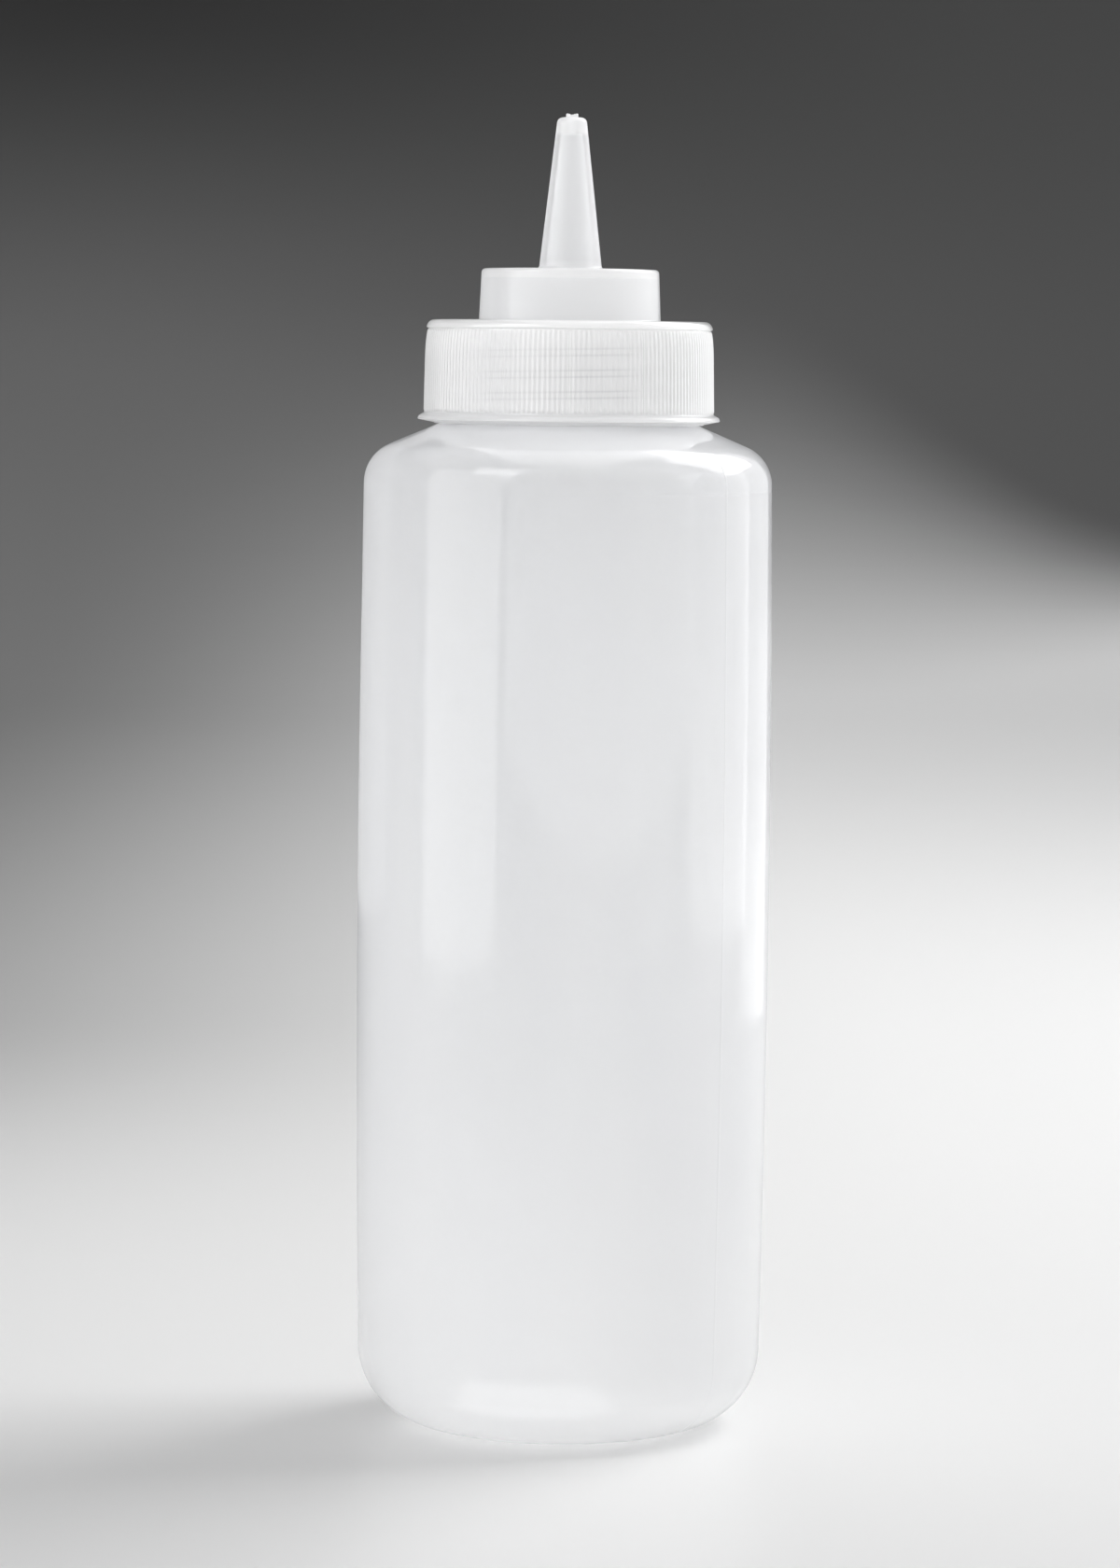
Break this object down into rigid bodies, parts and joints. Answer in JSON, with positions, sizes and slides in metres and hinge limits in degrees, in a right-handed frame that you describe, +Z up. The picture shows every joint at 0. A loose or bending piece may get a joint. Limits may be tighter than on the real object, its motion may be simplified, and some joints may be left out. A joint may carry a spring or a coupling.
{
  "type": "squeeze bottle",
  "caption": "Tall round squeeze bottle of milky plastic with a ribbed screw cap that carries a stepped drum and a cone nozzle; the cap unscrews and lifts off.",
  "frame": {"origin": "centre of the foot ring, on the surface the bottle stands on", "axes": "+Z up along the bottle's axis to the nozzle, -Y towards the side the picture shows"},
  "size_m": [0.0842, 0.0842, 0.2673],
  "materials": {
    "natural_bottle_plastic": "milky translucent, soft gloss, fine scuffs",
    "washer_foam": "matt closed-cell foam",
    "natural_cap_plastic": "milky translucent, soft gloss, brighter than the bottle"
  },
  "bodies": {
    "bottle": {"bottle": "natural_bottle_plastic"},
    "washer": {"sealing_washer": "washer_foam"},
    "cap": {"nozzle_cap": "natural_cap_plastic"}
  },
  "joints": [
    {"name": "cap_lift", "type": "slide", "parent": "bottle", "child": "washer", "axis": [0, 0, 1], "range_m": [0, 0.0213]},
    {"name": "cap_turn", "type": "hinge", "parent": "washer", "child": "cap", "pos_m": [0, 0, 0.2226], "axis": [0, 0, 1], "range_deg": [0, 1800]}
  ],
  "couplings": [
    {"joint": "cap_lift", "follows": "cap_turn", "m_per_rad": 0.00067376}
  ]
}
